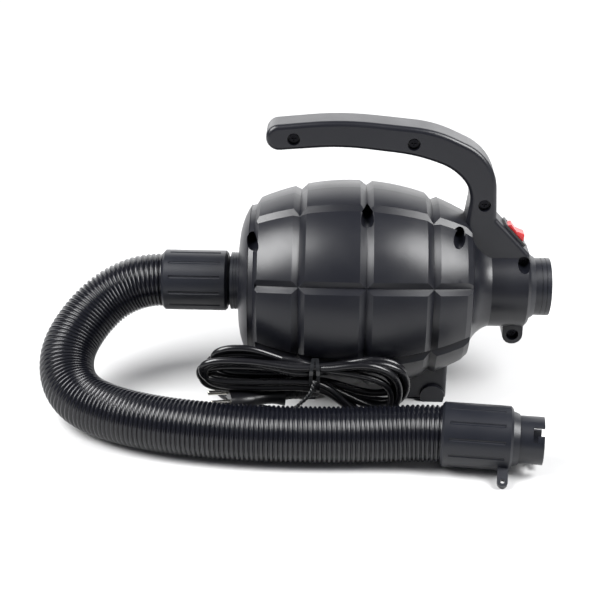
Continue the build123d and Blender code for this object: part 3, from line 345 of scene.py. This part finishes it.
# right loops, each from the lower pass of one fold to the upper pass of the next
right_loops = [(80, -62, -39), (87, -57, -31), (73, -69, -29), (84, -50, -24), (77, -66, -36)]
lead_in = [
    tuple(gland_at + 16 * gland_dir), tuple(gland_at + 29 * gland_dir), (-136, -4, -103),
    (-147, -20, -105.95), (-143, -42, -105.85), (-122, -59, -105.95), (-94, -69, -105.95),
    (-66, -77, -105.85), (-40, -85, -104), (-14, -92, -100), (4, -96, -98), (22, -98, -89),
    (34, -101, -66), (29, -104, -47), (10, -108, -34), (-18, -110, -31),
]
hank = []
for k, (row_in, layer, row_out, layer_out, reach, middle, half) in enumerate(left_folds):
    hank += lobe(TIE_ROWS[row_in], TIE_ROWS[row_out], reach, middle, half, LAYER * layer)
    if k < len(right_loops):
        wide, centre_z, up = right_loops[k]
        hank += lobe(TIE_ROWS[row_out], TIE_ROWS[left_folds[k + 1][0]], wide, centre_z, up, LAYER * layer_out)
tail = [
    (-46, -95, -49), (-20, -94, -46), (8, -94, -44), (30, -96, -50), (42, -97, -65), (31, -94, -79),
    (12, -85.5, -84), (-10, -81, -81), tuple(plug_face - 92 * plug_dir), tuple(plug_face - 66 * plug_dir),
]
cord_points = lead_in + hank + tail
cord_line = nurbs_line("cord_line", [place(*p) for p in cord_points])
cord_spots, cord_along = points_of(cord_line, CORD_STEP)
cord_piece = tube_mesh("mains_lead", cord_spots, np.full(len(cord_spots), CORD_R), CORD_AROUND)
print("mains lead length", round(cord_along[-1], 3), "control points", len(cord_points))

# %% [markdown]
# The lead and the hose are mesh tubes that take their centre lines from their own splines. Both
# stand for the plain solids that the physics model keeps.

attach(cord_piece, "pump_body")
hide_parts("cord_lead", "cord_hank", "cord_tail")
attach(hose_piece, "pump_body")
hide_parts("hose")

# %% [markdown]
# ## The tie
#
# A flat wire tie goes twice round the hank's waist and its two ends are twisted together in a
# short tail that stands out towards the hose. Each wrap is a flat strip that follows a
# four-cornered loop with rounded corners; the tail is a pair of strands that wind round one line.

# %% Tie
TIE_CORNERS = [(-98.5, -29.0), (-119.6, -29.0), (-117.0, -61.0), (-90.0, -61.0)]
TIE_WIDTH = 3.4 * MM
TIE_THICK = 1.1 * MM
STRAND_R = 1.0 * MM
STRAND_PITCH = 7 * MM
STRAND_AROUND = 12
STRAND_STEP = 0.5 * MM


def rounded_loop(corners, share, count):
    """A closed loop through the corners' sides, each corner replaced by a curve that starts a share
    of the way along one side and ends that share along the next: (1-t)^2 a + 2t(1-t) b + t^2 c."""
    corners = np.array(corners)
    before = np.roll(corners, 1, axis=0)
    after = np.roll(corners, -1, axis=0)
    t = np.linspace(0, 1, count)[None, :, None]
    start = (corners + share * (before - corners))[:, None]
    end = (corners + share * (after - corners))[:, None]
    arcs = (1 - t) ** 2 * start + 2 * t * (1 - t) * corners[:, None] + t ** 2 * end
    return arcs.reshape(-1, 2)


def strip(name, centre, across, outward, width, thick):
    """A flat closed strip: at each point four corners, half the width across and half the
    thickness out."""
    corners = [(-0.5, -0.5), (0.5, -0.5), (0.5, 0.5), (-0.5, 0.5)]
    ring = np.stack([centre + a * width * across + b * thick * outward for a, b in corners], axis=1)
    count = len(centre)
    here = np.arange(count)[:, None] * 4 + np.arange(4)[None, :]
    over = np.arange(count)[:, None] * 4 + (np.arange(4)[None, :] + 1) % 4
    ahead = (np.arange(count)[:, None] + 1) % count * 4
    quads = np.stack([here, over, over % 4 + ahead, here % 4 + ahead], axis=-1).reshape(-1, 4)
    return make_piece(name, ring.reshape(-1, 3), quads[:, ::-1], smooth=False)


tie_loop = rounded_loop(TIE_CORNERS, 0.38, 10)
tie_pieces = []
for turn_no, (shift, slant) in enumerate([(-2.0, 1.6), (2.0, -1.2)]):
    spread = np.stack([
        TIE_X + shift + slant * np.cos(np.linspace(0, 2 * np.pi, len(tie_loop), endpoint=False)),
        tie_loop[:, 0], tie_loop[:, 1],
    ], axis=1)
    centre = np.array(place(0, 0, 0)) + spread * MM
    ahead = np.roll(centre, -1, axis=0) - np.roll(centre, 1, axis=0)
    ahead /= np.linalg.norm(ahead, axis=1)[:, None]
    across = np.tile((1.0, 0.0, 0.0), (len(centre), 1))
    outward = np.cross(ahead, across)
    tie_pieces.append(strip(f"tie_wrap_{turn_no + 1}", centre, across, outward, TIE_WIDTH, TIE_THICK))

tail_points = [
    (-46, -119.5, -44), (-47.5, -121.5, -50), (-51, -123, -58),
    (-57, -124, -64), (-65, -124.5, -72), (-72, -124.5, -76),
]
tail_line = nurbs_line("tie_tail_line", [place(*p) for p in tail_points])
tail_spots, tail_along = points_of(tail_line, STRAND_STEP)
tail_side, tail_up = frames_along(tail_spots)
for half in (0, 1):
    wind = tail_along / STRAND_PITCH * 2 * np.pi + half * np.pi
    off = STRAND_R * (tail_side * np.cos(wind)[:, None] + tail_up * np.sin(wind)[:, None])
    radii = np.full(len(tail_spots), STRAND_R)
    tie_pieces.append(tube_mesh(f"tie_tail_{half + 1}", tail_spots + off, radii, STRAND_AROUND))
for piece in tie_pieces:
    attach(piece, "pump_body")
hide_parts("cord_tie")
print("tie tail", round(tail_along[-1] * 1000, 1), "mm")

# %% [markdown]
# ## Finishes for the outside
#
# The barrel and handle are black ABS from a lightly spark-eroded mould: a fine, shallow grain with
# a slow drift in how shiny it is. The hose is blown polyethylene and nearly glossy. The lead and
# plug are flexible PVC. The pins are nickel, and the rocker is translucent red.

# %% Outside finishes
# Spark-eroded ABS. Its fine grain turns a lamp into a broad satin band with soft edges.
abs_black, abs_shader = finish("moulded_abs_black", "0F1016", 0.34, Specular_IOR_Level=0.4)
grain(abs_black, abs_shader, 0.45 * MM, 0.03 * MM, detail=3.0, spread=0.04, roughness=0.34)
dress(abs_black, "housing_near", "housing_far")

# Closer-grained ABS, a shade lighter, so that the rings of the two necks stand apart.
port_black, port_shader = finish("turned_abs_black", "11131A", 0.36, Specular_IOR_Level=0.45)
grain(port_black, port_shader, 0.4 * MM, 0.02 * MM, detail=2.0, spread=0.04, roughness=0.36)
dress(port_black, "outlet_collar", "rear_port_collar", "inlet_guard")

# Moulded ABS with a duller skin than the barrel, as a part made to be gripped.
cuff_black, cuff_shader = finish("moulded_cuff_black", "101219", 0.38, Specular_IOR_Level=0.4)
grain(cuff_black, cuff_shader, 0.5 * MM, 0.02 * MM, detail=2.0, spread=0.04, roughness=0.38)
dress(cuff_black, "hose_cuff_pump", "hose_cuff_free")

# Blown polyethylene. Nearly glossy, so that each ridge carries its own thin bright line.
hose_black, hose_shader = finish("blown_polyethylene_black", "0B0C12", 0.22, Specular_IOR_Level=0.4)
grain(hose_black, hose_shader, 1.2 * MM, 0.004 * MM, detail=2.0, spread=0.04, roughness=0.22)
hose_piece.data.materials.append(hose_black)

# Flexible PVC. Smooth and a little shiny, with a narrow highlight along each turn.
cord_black, cord_shader = finish("flexible_pvc_black", "0C0C0F", 0.26, Specular_IOR_Level=0.45)
grain(cord_black, cord_shader, 1.2 * MM, 0.012 * MM, detail=2.0, spread=0.04, roughness=0.26)
cord_piece.data.materials.append(cord_black)

# Moulded PVC. Softer looking than the lead, with a fine even grain.
plug_black, plug_shader = finish("moulded_pvc_black", "0F0F12", 0.36, Specular_IOR_Level=0.45)
grain(plug_black, plug_shader, 0.6 * MM, 0.015 * MM, detail=2.0, spread=0.04, roughness=0.36)
dress(plug_black, "plug_body", "plug_relief", "cord_gland", "cord_end_inside")

# Plastic-coated wire. Thin, glossy and a touch paler than the lead that it holds.
tie_black, tie_shader = finish("coated_tie_wire_black", "17181A", 0.22)
grain(tie_black, tie_shader, 0.8 * MM, 0.01 * MM, detail=1.0, spread=0.03, roughness=0.22)
for piece in tie_pieces:
    piece.data.materials.append(tie_black)

# Nickel plate on brass. Bright and slightly warm, the only polished metal in sight.
nickel, nickel_shader = finish("nickel_plate", "C9C6BE", 0.18, Metallic=1.0)
grain(nickel, nickel_shader, 0.7 * MM, 0.004 * MM, detail=2.0, spread=0.05, roughness=0.18)
dress(nickel, "plug_pins", "switch_terminals")

# Translucent polycarbonate. Light enters it, so its edges glow and its face is glossy.
rocker_red, rocker_shader = finish(
    "translucent_red_polycarbonate", "D3121A", 0.16, Transmission_Weight=0.25, IOR=1.58,
)
rocker_shader.inputs["Subsurface Weight"].default_value = 0.3
rocker_shader.inputs["Subsurface Radius"].default_value = (0.004, 0.0008, 0.0005)
grain(rocker_red, rocker_shader, 1.5 * MM, 0.006 * MM, detail=1.0, spread=0.04, roughness=0.16)
dress(rocker_red, "switch_rocker")

# Moulded nylon. A plain, slightly shiny frame round the rocker.
switch_black, switch_shader = finish("switch_nylon_black", "101012", 0.28)
grain(switch_black, switch_shader, 0.5 * MM, 0.01 * MM, detail=2.0, spread=0.04, roughness=0.28)
dress(switch_black, "switch_body")

# Black zinc on steel. A dark metal that is seen only as glints down its wells.
screw_black, screw_shader = finish("black_zinc_steel", "1C1C1F", 0.34, Metallic=1.0)
grain(screw_black, screw_shader, 0.35 * MM, 0.008 * MM, detail=2.0, spread=0.06, roughness=0.34)
dress(screw_black, "housing_screws")

# %% [markdown]
# ## Finishes for the inside
#
# The motor and fan are hidden by the housing, but each piece has the finish of what it is made
# of, for anyone who opens the model: varnished laminations, enamelled copper, ground steel,
# graphite, brass, cast aluminium and rubber.

# %% Inside finishes
# name, colour, roughness, metallic, grain size and height in millimetres, nodes
inside = [
    ("varnished_laminations", "4A4C52", 0.45, 0.6, 0.5, 0.02, ("field_stator", "armature_core")),
    ("enamelled_copper", "A8542A", 0.30, 1.0, 0.6, 0.05, ("field_coils", "armature_winding")),
    ("commutator_copper", "C07A4A", 0.25, 1.0, 0.5, 0.01, ("commutator",)),
    ("ground_steel", "B8BABE", 0.22, 1.0, 0.3, 0.004, (
        "rotor_shaft", "motor_screws", "impeller_nut", "cord_clamp_screws",
    )),
    ("bearing_steel", "C4C6C9", 0.12, 1.0, 0.4, 0.003, (
        "bearing_front_outer", "bearing_rear_outer", "bearing_front_inner", "bearing_rear_inner",
        "bearing_balls",
    )),
    ("glass_filled_nylon", "26282B", 0.50, 0.0, 0.5, 0.03, ("front_end_bell", "diffuser", "brush_holders")),
    ("cast_aluminium", "A9ABAD", 0.40, 1.0, 0.7, 0.03, ("rear_bracket", "impeller_spacer")),
    ("drawn_steel_sheet", "9A9DA2", 0.30, 1.0, 0.8, 0.01, ("fan_shroud",)),
    ("aluminium_sheet", "C6C8CA", 0.26, 1.0, 0.8, 0.01, ("impeller",)),
    ("brass", "C2A04E", 0.24, 1.0, 0.5, 0.006, ("brush_caps",)),
    ("graphite", "2A2A2D", 0.55, 0.2, 0.3, 0.02, ("carbon_brushes",)),
    ("spring_steel", "A6A8AC", 0.22, 1.0, 0.3, 0.003, ("brush_springs",)),
    ("mount_rubber", "151517", 0.70, 0.0, 0.5, 0.03, ("fan_seal_ring", "motor_mount_ring")),
    ("capacitor_yellow", "D8B13C", 0.35, 0.0, 0.5, 0.01, ("capacitor",)),
    ("fibre_clamp", "3B2D22", 0.60, 0.0, 0.4, 0.03, ("cord_clamp_seat", "cord_clamp_bar")),
    ("wire_brown", "6B3A22", 0.35, 0.0, 0.8, 0.01, ("wire_to_switch", "wire_from_switch")),
    ("wire_blue", "2B5FA8", 0.35, 0.0, 0.8, 0.01, ("wire_to_motor",)),
]
for name, colour, rough, metal, size, height, names in inside:
    material, shader = finish(name, colour, rough, Metallic=metal)
    grain(material, shader, size * MM, height * MM, detail=2.0, spread=0.04, roughness=rough)
    dress(material, *names)
print("inside finishes", len(inside))

# %% [markdown]
# ## The stage and the light
#
# A grey floor, lit until it shows nearly white, runs out of sight under a dim world. Two large
# soft boxes stand left and right of the pump, above it and a little in front, so that each side
# of the barrel carries a band of light and its middle stays dark. A wide panel stands behind, and
# the upper edges pick it up.

# %% Floor, world and lights
floor_mesh = bpy.data.meshes.new("floor")
floor_mesh.from_pydata([(-6, -6, 0), (6, -6, 0), (6, 6, 0), (-6, 6, 0)], [], [(0, 1, 2, 3)])
floor = bpy.data.objects.new("floor", floor_mesh)
bpy.context.scene.collection.objects.link(floor)
paper, paper_shader = finish("floor_paper", "C4C4C4", 0.9)
paper_shader.inputs["Specular IOR Level"].default_value = 0.1
floor_mesh.materials.append(paper)

world = bpy.data.worlds.new("studio")
world.use_nodes = True
world.node_tree.nodes["Background"].inputs["Color"].default_value = linear("F2F5FF")
world.node_tree.nodes["Background"].inputs["Strength"].default_value = 0.2
bpy.context.scene.world = world
bpy.context.scene.view_settings.view_transform = "Standard"


def soft_box(name, at, width, height, radiance):
    """A rectangular area light at a point in metres, turned to face the middle groove.
    A flat lamp's power is its radiance times pi times its area."""
    lamp = bpy.data.lights.new(name, "AREA")
    lamp.shape = "RECTANGLE"
    lamp.size = width
    lamp.size_y = height
    lamp.energy = radiance * math.pi * width * height
    light = bpy.data.objects.new(name, lamp)
    towards = Vector(place(0, 0, 0)) - Vector(at)
    light.matrix_world = Matrix.Translation(at) @ towards.to_track_quat("-Z", "Y").to_matrix().to_4x4()
    bpy.context.scene.collection.objects.link(light)


soft_box("left_box", (-1.00, -0.38, 1.18), 0.75, 0.95, 20.0)
soft_box("right_box", (1.00, -0.38, 1.18), 0.75, 0.95, 20.0)
soft_box("back_panel", (0.0, 1.6, 0.75), 3.6, 1.5, 2.2)

# %% [markdown]
# ## The last update
#
# The view layer is brought up to date once more at the end.

# %% Finish
bpy.context.view_layer.update()
